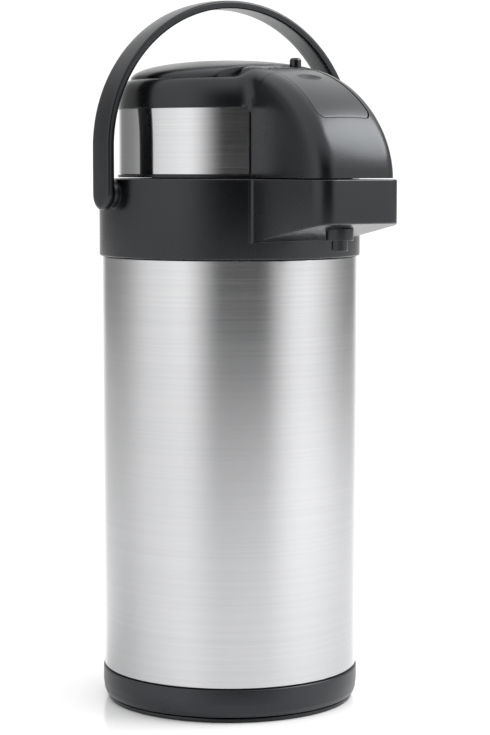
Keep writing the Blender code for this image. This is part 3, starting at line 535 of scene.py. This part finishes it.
def lid_directions(columns, rows):
    """Elevations that meet the lip and the band's upper edge exactly, for each plan angle."""
    plan = np.linspace(-0.5 * math.pi, 1.5 * math.pi, columns, endpoint=False)
    cx, cy = np.cos(plan), np.sin(plan)

    def level(radius, z):
        """Elevation at which a ray of each plan angle meets a circle of the dome."""
        b = LID_CENTRE.y * cy
        away = -b + np.sqrt(b * b - (LID_CENTRE.y ** 2 - radius * radius))
        return np.arctan2(z - LID_LOW_Z, away)

    marks = [np.zeros(columns), level(LIP_R, LIP_TOP_Z), level(SEAT_R, LIP_TOP_Z),
             level(SEAT_R, SEAT_TOP_Z), level(LID_R, BAND_TOP_Z + GAP),
             np.full(columns, 0.5 * math.pi)]
    counts = [2, 1, rows // 4, 2, rows]
    elevations = []
    for start, end, count in zip(marks, marks[1:], counts):
        elevations += [start + (end - start) * k / count for k in range(count)]
    made = []
    for e in elevations:
        made.append(np.stack([np.cos(e) * cx, np.cos(e) * cy, np.sin(e)], axis=1))
    return made


def lid_skin(columns=352, rows=84):
    """The lid's shell: an outside and an inside grid, joined round the bottom rim."""
    centre = np.array(LID_CENTRE)
    grids = []
    for inset in (0.0, LID_WALL):
        rings = [centre + d * outermost(d, inset)[:, None] for d in lid_directions(columns, rows)]
        grids.append(rings)
    outer, inner = grids
    vertices = [p for ring in reversed(inner) for p in ring] + [p for ring in outer for p in ring]
    count = len(inner) + len(outer)
    rings = [list(range(i * columns, (i + 1) * columns)) for i in range(count)]
    top = len(vertices)
    crown = np.array([[0.0, 0.0, 1.0]])
    vertices += [centre + crown[0] * outermost(crown, 0.0)[0],
                 centre + crown[0] * outermost(crown, LID_WALL)[0]]
    faces = ring_faces(rings, False)
    for k in range(columns):
        m = (k + 1) % columns
        faces.append([rings[-1][k], rings[-1][m], top])
        faces.append([rings[0][m], rings[0][k], top + 1])
    return raw("lid_shell_skin", vertices, faces)


def panel_outline(side=0.0, rear_room=0.0, front_room=0.0, steps=8):
    """Plan of the finger panel, a trapezoid with round corners."""
    rear, front = PANEL_REAR_HALF + side, PANEL_FRONT_HALF + side
    y_rear, y_front = PANEL_REAR_Y + rear_room, PANEL_FRONT_Y - front_room
    r = PANEL_CORNER + side
    return [tuple(p) for p in softened([(front, y_front, r), (rear, y_rear, r),
                                        (-rear, y_rear, r), (-front, y_front, r)], steps)]


def cap_outline(grow, corner, steps=160):
    """Plan of the push cap: a circle with a flat front and eased corners."""
    radius, front = CAP_R + grow, CAP_FRONT_Y - grow
    start = math.degrees(math.asin(front / radius))
    points = arc((0, 0), radius, start, 180 - start, steps)
    points[0] = (*points[0], corner)
    points[-1] = (*points[-1], corner)
    return [tuple(p) for p in softened(points, 6)] if corner else points


def boundary(outline, centre, angles):
    """Distance from centre to a star-shaped outline along each angle."""
    pts = np.array([tuple(p) for p in outline]) - np.array(centre)
    theirs = np.unwrap(np.arctan2(pts[:, 1], pts[:, 0]))
    if theirs[-1] < theirs[0]:
        pts = pts[::-1]
    made = []
    ends = np.roll(pts, -1, axis=0)
    for a in angles:
        d = np.array([math.cos(a), math.sin(a)])
        cross0 = pts[:, 0] * d[1] - pts[:, 1] * d[0]
        cross1 = ends[:, 0] * d[1] - ends[:, 1] * d[0]
        hit = (cross0 * cross1 <= 0) & (np.abs(cross0 - cross1) > 1e-12)
        t = cross0[hit] / (cross0[hit] - cross1[hit])
        where = pts[hit] + (ends[hit] - pts[hit]) * t[:, None]
        made.append(max(float(where[i] @ d) for i in range(len(where))))
    return np.array(made)


def domed_plate(name, outline, centre, height, wall, soft, skirt, columns=220, rings=26,
                relief=None):
    """A shell whose top follows height(x, y), with a soft rim and a skirt down its edge."""
    angles = np.linspace(0, 2 * math.pi, columns, endpoint=False)
    reach = boundary(outline, centre, angles)
    ca, sa = np.cos(angles), np.sin(angles)
    steps = [soft * (1 - math.cos(0.5 * math.pi * k / 4)) for k in range(4)]
    inner = [soft + (0.985 * reach.min() - soft) * (k / rings) ** 1.15 for k in range(rings)]
    top = []
    for inset in steps + inner:
        share = np.maximum(reach - inset, 0) if inset <= soft else \
            (reach - soft) * (1 - (inset - soft) / (reach.min() - soft))
        x, y = centre[0] + ca * share, centre[1] + sa * share
        lost = soft - math.sqrt(max(0.0, soft ** 2 - max(0.0, soft - inset) ** 2))
        z = height(x, y) - lost
        if relief is not None:
            z = z - relief(x, y)
        top.append(np.stack([x, y, z], axis=1))
    edge = top[0]
    under = [ring - np.array([0, 0, wall]) for inset, ring in zip(steps + inner, top)
             if inset > 1.1 * wall]
    x, y = centre[0] + ca * (reach - wall), centre[1] + sa * (reach - wall)
    foot_out = np.stack([edge[:, 0], edge[:, 1], skirt(edge)], axis=1)
    foot_in = np.stack([x, y, foot_out[:, 2]], axis=1)
    corner = np.stack([x, y, height(x, y) - wall], axis=1)
    return stacked(name, list(reversed(top)) + [foot_out, foot_in, corner] + under)


# ---- vessel and base --------------------------------------------------------------------
def make_vessel():
    low = BASE_TOP_Z + GAP
    wall = 0.0010
    inner = SHELL_R - wall
    shell = turned("outer_shell_skin", [
        (0, low), (SHELL_R, low, 0.0012), (SHELL_R, 0.2664, 0.0010), (0.0746, 0.2674, 0.0006),
        (0.0746, 0.2710, 0.003), (0.0690, 0.2790, 0.006), (0.0560, 0.2880, 0.006),
        (0.0460, 0.2915, 0.002), (0.0460, 0.2970), (0.0450, 0.2970), (0.0450, 0.2908),
        (0.0554, 0.2871), (0.0683, 0.2782), (0.0736, 0.2705), (0.0736, 0.2662), (inner, 0.2650),
        (inner, low + wall), (0, low + wall)])
    finish_piece(shell, "vessel", "outer_shell", "steel_brushed")
    liner = turned("inner_liner_skin", [
        (0, 0.0290), (0.050, 0.0290, 0.010), (0.063, 0.0315, 0.008), (0.070, 0.0390, 0.006),
        (0.070, 0.2560, 0.006), (0.067, 0.2650, 0.006), (0.054, 0.2755, 0.012),
        (0.0400, 0.2810, 0.002), (0.0400, 0.2976), (0.0463, 0.2976), (0.0463, 0.2984),
        (0.0392, 0.2984, 0.0006), (0.0392, 0.2804), (0.0535, 0.2748, 0.012),
        (0.0662, 0.2645, 0.006), (0.0692, 0.2557, 0.006), (0.0692, 0.0393, 0.006),
        (0.0626, 0.0323, 0.008), (0.0499, 0.0298, 0.010), (0, 0.0298)], 192)
    finish_piece(liner, "vessel", "inner_liner", "steel_plain")
    ring = turned("mouth_ring_skin", [
        (0.0390, 0.2988), (0.0390, 0.3105, 0.0012), (RING_R, 0.3105, 0.0008), (RING_R, 0.2925),
        (0.0468, 0.2925), (0.0468, 0.2988)], 192)
    way = prism("way", arc((0, 0.3046), 0.0043, 0, 360, 31)[:-1], -0.060, -0.030, "Y")
    finish_piece(cut(ring, way), "vessel", "mouth_ring", "natural_plastic")


def make_base():
    ring = turned("base_ring_skin", [
        (0.0090, 0.0030), (0.0737, 0.0030, 0.0004), (0.0752, 0.0036, 0.0006),
        (0.0762, 0.0062, 0.0030), (BASE_R, 0.0110, 0.0040), (BASE_R, BASE_TOP_Z, 0.0007),
        (0.0700, BASE_TOP_Z), (0.0700, 0.0178), (0.0742, 0.0172), (0.0742, 0.0080),
        (0.0730, 0.0052), (0.0090, 0.0052)])
    finish_piece(ring, "vessel", "base_ring", "charcoal")
    foot = turned("swivel_foot_skin", [
        (0, 0), (FOOT_R, 0, 0.0007), (FOOT_R, FOOT_H, 0.0004), (0.0086, FOOT_H),
        (0.0086, 0.0055), (0.0044, 0.0055), (0.0044, 0.0012), (0, 0.0012)])
    finish_piece(foot, "foot", "swivel_foot", "black_satin")


# ---- collar with its beak ---------------------------------------------------------------
def beak_plan():
    """Plan of the beak: flanks that flare into the collar through fillets, round nose corners."""
    root, nose = Vector(BEAK_ROOT), Vector(BEAK_NOSE)
    along = (nose - root).normalized()
    out = Vector((-along.y, along.x))
    start = root + out * BEAK_FILLET
    b = start.dot(along)
    c = start.length_squared - (COLLAR_R + BEAK_FILLET) ** 2
    centre = start + along * (-b + math.sqrt(b * b - c))
    on_ring = centre.normalized() * COLLAR_R
    on_flank = centre - out * BEAK_FILLET
    first = math.degrees(math.atan2(*reversed(on_ring - centre)))
    last = math.degrees(math.atan2(*reversed(on_flank - centre)))
    side = arc(centre, BEAK_FILLET, first, last, 10)
    side += [tuple(on_flank.lerp(nose, k / 12)) for k in range(1, 10)]
    side += [tuple(p) for p in softened([tuple(on_flank), (*nose, BEAK_ROUND), (0, nose.y)], 14)
             if p.y < nose.y + 1.05 * BEAK_ROUND and p.x > 1e-6]
    side += [(nose.x * k / 12, nose.y) for k in range(6, 0, -1)]
    left = [(-x, y) for x, y in reversed(side)]
    back = COLLAR_R - 0.0008
    angle = math.degrees(math.atan2(side[0][1], side[0][0]))
    rear = arc((0, 0), back, -180 - angle, angle, 40)
    points = [Vector(p) for p in side + [(0.0, nose.y)] + left + rear]
    if area(points) < 0:
        points.reverse()
    return points


def make_collar():
    hole = RING_R + GAP
    ring = turned("collar_skin", [
        (hole, COLLAR_TOP_Z, 0.0004), (COLLAR_R, COLLAR_TOP_Z, 0.0007),
        (COLLAR_R, COLLAR_LOW_Z, 0.0009), (SHELL_R + GAP, COLLAR_LOW_Z),
        (COLLAR_R - COLLAR_WALL, COLLAR_LOW_Z + 0.0004),
        (COLLAR_R - COLLAR_WALL, COLLAR_TOP_Z - COLLAR_DECK),
        (hole, COLLAR_TOP_Z - COLLAR_DECK)], steps=6)
    plan = beak_plan()
    fall = (BEAK_ROOT_Z - BEAK_NOSE_Z) / (BEAK_ROOT[1] - BEAK_NOSE[1])
    top = COLLAR_TOP_Z - 0.00002
    rows = []
    for k in range(7):
        a = 0.5 * math.pi * k / 6
        inset, rise = 0.0009 * (1 - math.sin(a)), 0.0009 * (1 - math.cos(a))
        rows.append([(p.x, p.y, BEAK_NOSE_Z + fall * (p.y - BEAK_NOSE[1]) + rise)
                     for p in pulled_in(plan, inset)])
    for k in range(7):
        a = 0.5 * math.pi * k / 6
        inset, fallen = 0.0007 * (1 - math.cos(a)), 0.0007 * (1 - math.sin(a))
        rows.append([(p.x, p.y, top - fallen) for p in pulled_in(plan, inset)])
    beak = stacked("beak", rows)
    front, back = POCKET_Y
    pocket = prism("pocket", [(-POCKET_HALF, front), (POCKET_HALF, front), (POCKET_HALF, back),
                              (-POCKET_HALF, back)], *POCKET_Z)
    cut(beak, pocket)
    bosses = []
    for side in (-1, 1):
        round_end = arc((PIVOT_Y, PIVOT_Z), BOSS_R, 0, 360, 64)[:-1]
        ends = sorted((side * 0.0722, side * 0.0816))
        bosses.append(bar("boss", round_end, *ends, axis="X", soft=0.0006))
    finish_piece(joined(ring, beak, *bosses), "vessel", "collar", "black_satin")


def make_spout():
    place = (0, SPOUT_Y)
    low, top = SPOUT_COLLAR_Z
    collar = turned("nozzle_collar_skin", [
        (0.0048, low), (0.0076, low, 0.0004), (0.0078, top), (0.0048, top)], 96, place)
    finish_piece(collar, "vessel", "nozzle_collar", "black_satin")
    low, top = SPOUT_TIP_Z
    tip = turned("nozzle_tip_skin", [
        (0.0028, low, 0.0002), (0.0045, low, 0.0005), (0.0045, top), (0.0028, top)], 96, place)
    finish_piece(tip, "vessel", "nozzle_tip", "black_satin")


# ---- carrying handle --------------------------------------------------------------------
def make_handle():
    """A strap bent to a bail, with round eyes, a crowned outside and rounded edges."""
    middle, thick = 0.5 * (BAIL_OUT + BAIL_IN), BAIL_OUT - BAIL_IN
    eye, soft, crown = 0.5 * BAIL_WIDTH, 0.0013, 0.0004
    leg = BAIL_ARCH_Z - PIVOT_Z
    total = 2 * leg + math.pi * middle

    def on_path(u):
        """Point of the mid line in (x, z) and the outward direction there."""
        if u < leg:
            return Vector((-middle, PIVOT_Z + u)), Vector((-1, 0))
        if u > total - leg:
            return Vector((middle, PIVOT_Z + total - u)), Vector((1, 0))
        a = math.pi - (u - leg) / middle
        out = Vector((math.cos(a), math.sin(a)))
        return Vector((0, BAIL_ARCH_Z)) + out * middle, out

    stations = [("end", math.radians(90 * k / 12)) for k in range(12)]
    stations += [("leg", leg * k / 5) for k in range(5)]
    stations += [("leg", leg + math.pi * middle * k / 120) for k in range(121)]
    stations += [("leg", total - leg + leg * k / 5) for k in range(1, 6)]
    stations += [("far", math.radians(90 * k / 12)) for k in range(11, -1, -1)]
    edge = []
    for k in range(5):
        a = 0.5 * math.pi * k / 4
        edge.append((soft * (1 - math.sin(a)), 0.5 * thick - soft * (1 - math.cos(a))))
    across = 6
    rows = []
    for kind, value in stations:
        row = []
        def add(inset, offset, share):
            """A point at inset from the strap's edge, offset outwards, share of the half width."""
            if kind == "leg":
                u, half = value, eye - inset
            else:
                u, half = -(eye - inset) * math.cos(value), (eye - inset) * math.sin(value)
                u = u if kind == "end" else total - u
            place, out = on_path(u)
            place = place + out * offset
            row.append((place.x, PIVOT_Y + half * share, place.y))
        for k in range(across + 1):
            share = 1 - 2 * k / across
            add(edge[0][0], 0.5 * thick - crown * share * share, share)
        for inset, offset in edge[1:]:
            add(inset, offset - crown, -1)
        for inset, offset in reversed(edge[1:]):
            add(inset, -offset, -1)
        for k in range(across + 1):
            add(edge[0][0], -0.5 * thick, -1 + 2 * k / across)
        for inset, offset in edge[1:]:
            add(inset, -offset, 1)
        for inset, offset in reversed(edge[1:]):
            add(inset, offset - crown, 1)
        rows.append(row)
    strap = stacked("bail_handle_skin", rows)
    bore = arc((PIVOT_Y, PIVOT_Z), PIN_BORE_R, 0, 360, 40)[:-1]
    skin, beyond = 0.0012, 0.020              # left outside the bore, and the cutter's overrun
    cut(strap, prism("bore", bore, BAIL_IN - beyond, BAIL_OUT - skin, "X"))
    cut(strap, prism("bore", bore, -BAIL_OUT + skin, -BAIL_IN + beyond, "X"))
    finish_piece(strap, "handle", "bail_handle", "black_satin")
    for name, side in (("pivot_pin_left", -1), ("pivot_pin_right", 1)):
        shaft = bar(name, arc((PIVOT_Y, PIVOT_Z), PIN_R, 0, 360, 40)[:-1],
                    *sorted((side * 0.0705, side * (BAIL_OUT - 0.0014))), axis="X")
        head = bar("head", arc((PIVOT_Y, PIVOT_Z), PIN_HEAD_R, 0, 360, 40)[:-1],
                   *sorted((side * 0.0700, side * 0.0718)), axis="X")
        finish_piece(joined(shaft, head), "pivots", name, "steel_plain")


# ---- lid --------------------------------------------------------------------------------
def make_lid():
    shell = lid_skin()
    x, y = LOCK_PLACE
    slot = arc((x, y), 0.0016, -90, 90, 10) + arc((x - LOCK_TRAVEL, y), 0.0016, 90, 270, 10)
    cutters = joined(prism("cap_hole", cap_outline(GAP + 0.0001, 0.0), 0.3400, 0.4000),
                     prism("panel_hole", panel_outline(*PANEL_ROOM), 0.3300, 0.4000))
    cut(shell, cutters)
    cut(shell, prism("slot", slot, 0.3600, 0.4000))
    finish_piece(shell, "lid", "lid_shell", "black_satin")

    reach = math.degrees(math.asin((hood_half(BAND_END_Y) + 2 * GAP) / LID_R))
    start = -90 + reach
    inner = LID_R - BAND_WALL
    rim = 0.00012
    rows = []
    for inset, z in ((rim, BAND_LOW_Z), (0.0, BAND_LOW_Z + rim), (0.0, BAND_TOP_Z - rim),
                     (rim, BAND_TOP_Z)):
        outer = arc((0, 0), LID_R - inset, start, 180 - start, 200)
        back = arc((0, 0), inner + inset, 180 - start, start, 200)
        rows.append([(px, py, z) for px, py in outer + back])
    finish_piece(stacked("lid_band_skin", rows), "lid", "lid_band", "steel_brushed",
                 material=BAND_FINISH)

    leaf = bar("lid_hinge_leaf_skin", arc((HINGE_Y, HINGE_Z), HINGE_R, 0, 360, 48)[:-1],
               -EAR_X + GAP, EAR_X - GAP, "X")
    web = bar("web", [(0.0664, 0.3172), (0.0700, 0.3172), (0.0700, 0.3215), (0.0682, 0.3320),
                      (0.0664, 0.3340)], -EAR_X + GAP, EAR_X - GAP, "X", soft=0.0003)
    finish_piece(joined(leaf, web), "lid", "lid_hinge_leaf", "black_satin")
    ears = []
    for side in (-1, 1):
        outline = arc((HINGE_Y, HINGE_Z), HINGE_R, 0, 180, 24)
        outline += [(HINGE_Y - HINGE_R, 0.3131), (HINGE_Y + HINGE_R, 0.3131)]
        ears.append(bar("ear", outline, *sorted((side * EAR_X, side * (EAR_X + EAR_WIDTH))),
                        axis="X"))
    sole = bar("sole", [(-0.0180, 0.0676), (0.0180, 0.0676), (0.0180, 0.0752), (-0.0180, 0.0752)],
               COLLAR_TOP_Z + GAP, COLLAR_TOP_Z + 0.0010, "Z", soft=0.0002)
    finish_piece(joined(ears[0], ears[1], sole), "vessel", "hinge_bracket", "black_satin")

    gasket = turned("lid_gasket_skin", [
        (0.0400, 0.3114, 0.0003), (0.0425, 0.3108, 0.0008), (0.0465, 0.3114, 0.0003),
        (0.0465, 0.3137), (0.0400, 0.3137)], 192)
    finish_piece(gasket, "lid", "lid_gasket", "silicone")


def cap_height(x, y):
    """Height of the push cap's top, which swells from the dome's edge."""
    r = np.minimum(np.hypot(x, y) / CAP_R, 1.0)
    return DOME_EDGE_Z + (DOME_TOP_Z - DOME_EDGE_Z) * np.sqrt(1 - r * r) ** 0.9


def make_push_cap():
    cap = domed_plate("push_cap_skin", cap_outline(0.0, 0.0012), (0.0, 0.0), cap_height,
                      wall=0.0022, soft=0.0006,
                      skirt=lambda edge: np.full(len(edge), CAP_SKIRT_Z))
    finish_piece(cap, "pump", "push_cap", "black_satin")


def dimple(x, y):
    """How far the finger dimple lowers the panel."""
    middle, across, along, depth = DIMPLE
    q = (x / across) ** 2 + ((y - middle) / along) ** 2
    return depth * np.clip(1 - q, 0, 1) ** 0.8


def make_panel():
    sunk, skirt = 0.0002, 0.0020
    panel = domed_plate("latch_panel_skin", panel_outline(), (0.0, PANEL_CENTRE_Y),
                        lambda x, y: top_height(x, y) - sunk, wall=0.0022, soft=0.0005,
                        skirt=lambda edge: edge[:, 2] - skirt, columns=240, rings=40,
                        relief=dimple)
    lugs = []
    for side in (-1, 1):
        ends = sorted((side * 0.0085, side * 0.0110))
        lugs.append(bar("lug", arc(PANEL_PIN, 0.0036, 0, 360, 32)[:-1], *ends, axis="X"))
    finish_piece(joined(panel, *lugs), "latch", "latch_panel", "panel_grey")


def make_lock():
    knob = turned("lock_knob_skin", [
        (0, LOCK_LOW_Z), (LOCK_STEM_R, LOCK_LOW_Z), (LOCK_STEM_R, LOCK_HEAD_Z + 0.0002),
        (LOCK_HEAD_R, LOCK_HEAD_Z, 0.0003), (LOCK_HEAD_R, LOCK_TOP_Z, 0.0018),
        (0, LOCK_TOP_Z)], 64, LOCK_PLACE, steps=8)
    finish_piece(knob, "lock", "lock_knob", "black_gloss")


def dress_inner_nodes():
    """The CAD nodes that stay get their slot's finish."""
    for part in frame["record"]["subparts"]:
        obj = frame["nodes"][part["node"]]
        if obj.hide_render:
            continue
        obj.data.materials.clear()
        obj.data.materials.append(FINISHES[part["material_slot"]])


# ---- studio -----------------------------------------------------------------------------
CAMERA_PLACE = Vector((-0.6921, -1.1076, 0.3205))
CAMERA_YAW, CAMERA_PITCH = 0.402, -5.308       # degrees off the body's axis, and down
CAMERA_LENS = 106.74


def make_camera():
    """A long lens from the left of the spout, at about the lid's height."""
    data = bpy.data.cameras.new("camera")
    data.lens, data.sensor_width = CAMERA_LENS, 36.0
    data.clip_start, data.clip_end = 0.05, 30.0
    obj = bpy.data.objects.new("camera", data)
    bpy.context.scene.collection.objects.link(obj)
    obj.location = CAMERA_PLACE
    level = Vector((-CAMERA_PLACE.x, -CAMERA_PLACE.y, 0)).normalized()
    level.rotate(Matrix.Rotation(-math.radians(CAMERA_YAW), 3, "Z"))
    pitch = math.radians(CAMERA_PITCH)
    ahead = level * math.cos(pitch) + Vector((0, 0, math.sin(pitch)))
    obj.rotation_euler = ahead.to_track_quat("-Z", "Y").to_euler()
    bpy.context.scene.camera = obj


def softbox(name, direction, distance, size, radiance):
    """An area light of a given brightness that faces the pot."""
    target = Vector((0, -0.02, 0.25))
    data = bpy.data.lights.new(name, "AREA")
    data.shape, data.size, data.size_y = "RECTANGLE", *size
    data.energy = radiance * math.pi * size[0] * size[1]
    obj = bpy.data.objects.new(name, data)
    bpy.context.scene.collection.objects.link(obj)
    away = Vector(direction).normalized()
    obj.location = target + away * distance
    obj.rotation_euler = away.to_track_quat("Z", "Y").to_euler()


# Brightness of the room against the angle from the camera, in degrees to its right: bright to
# both sides, dark behind the camera and on two cards far to the sides.
ROOM = ((-180, 1.08), (-163, 1.05), (-150, 0.38), (-138, 0.35), (-120, 0.42), (-106, 0.60),
        (-94, 0.92), (-84, 1.22), (-74, 1.42), (-62, 1.52), (-50, 1.66), (-40, 1.66), (-31, 1.28),
        (-22, 0.72), (-14, 0.26), (-7, 0.06), (4, 0.03), (24, 0.04), (33, 0.18), (41, 0.66),
        (50, 1.20), (60, 1.60), (74, 1.64), (86, 1.40), (98, 1.10), (112, 0.70), (126, 0.46),
        (140, 0.35), (150, 0.38), (163, 1.05), (180, 1.08))
OVERHEAD, BACKDROP = 1.6, 1.08                 # brightness above, and of what the camera sees
OVERHEAD_FROM, OVERHEAD_TO = 0.34, 0.72        # sines of the elevations where it takes over
FULL_SCALE = 2.0                               # brightness that the room's colours call 1


def make_world():
    """A studio lit by the room's profile, with a white backdrop."""
    world = bpy.data.worlds.new("studio")
    bpy.context.scene.world = world
    world.use_nodes = True
    tree = world.node_tree
    background = tree.nodes["Background"]

    def node(kind, **settings):
        made = tree.nodes.new("ShaderNode" + kind)
        for key, value in settings.items():
            setattr(made, key, value)
        return made

    def grey(value):
        return (*(3 * [value / FULL_SCALE]), 1)

    place = node("TexCoord")
    front = Vector((CAMERA_PLACE.x, CAMERA_PLACE.y, 0)).normalized()
    right = Vector((-front.y, front.x, 0))
    angle = node("Math", operation="ARCTAN2")
    for k, direction in enumerate((right, front)):
        dot = node("VectorMath", operation="DOT_PRODUCT")
        dot.inputs[1].default_value = direction
        tree.links.new(place.outputs["Generated"], dot.inputs[0])
        tree.links.new(dot.outputs["Value"], angle.inputs[k])
    turn = node("MapRange")
    turn.inputs["From Min"].default_value = -math.pi
    turn.inputs["From Max"].default_value = math.pi
    tree.links.new(angle.outputs["Value"], turn.inputs["Value"])
    ramp = node("ValToRGB")
    stops = ramp.color_ramp.elements
    stops[0].position, stops[-1].position = 0.0, 1.0
    for degrees, _ in ROOM[1:-1]:
        stops.new((degrees + 180) / 360)
    for stop, (_, value) in zip(stops, ROOM):
        stop.color = grey(value)
    tree.links.new(turn.outputs["Result"], ramp.inputs["Fac"])

    split = node("SeparateXYZ")
    tree.links.new(place.outputs["Generated"], split.inputs["Vector"])
    rise = node("MapRange")
    rise.inputs["From Min"].default_value = OVERHEAD_FROM
    rise.inputs["From Max"].default_value = OVERHEAD_TO
    tree.links.new(split.outputs["Z"], rise.inputs["Value"])
    lit = node("Mix", data_type="RGBA")
    lit.inputs["B"].default_value = grey(OVERHEAD)
    tree.links.new(rise.outputs["Result"], lit.inputs["Factor"])
    tree.links.new(ramp.outputs["Color"], lit.inputs["A"])

    seen = node("Mix", data_type="RGBA")
    seen.inputs["B"].default_value = grey(BACKDROP)
    tree.links.new(node("LightPath").outputs["Is Camera Ray"], seen.inputs["Factor"])
    tree.links.new(lit.outputs["Result"], seen.inputs["A"])
    tree.links.new(seen.outputs["Result"], background.inputs["Color"])
    background.inputs["Strength"].default_value = FULL_SCALE


def make_floor():
    """A pale, slightly glossy table top."""
    half = 4.0
    floor = raw("floor", [(-half, -half, 0), (half, -half, 0), (half, half, 0), (-half, half, 0)],
                [(0, 1, 2, 3)])
    s = Shader("floor")
    s.set(Roughness=0.16)
    s.link(s.mix(s.noise((1.5, 1.5, 1.5), detail=3.0), "Fac", (0.88, 0.88, 0.885),
                 (0.90, 0.90, 0.90)), "Result", s.out.inputs["Base Color"])
    floor.data.materials.append(s.material)


def make_studio():
    make_camera()
    make_world()
    make_floor()
    softbox("key_over_right", (0.58, -0.37, 0.62), 1.5, (0.95, 0.95), 7.6)
    bpy.context.scene.view_settings.view_transform = "Standard"


for step in (make_vessel, make_base, make_collar, make_spout, make_handle, make_lid,
             make_push_cap, make_panel, make_lock, dress_inner_nodes, make_studio):
    step()
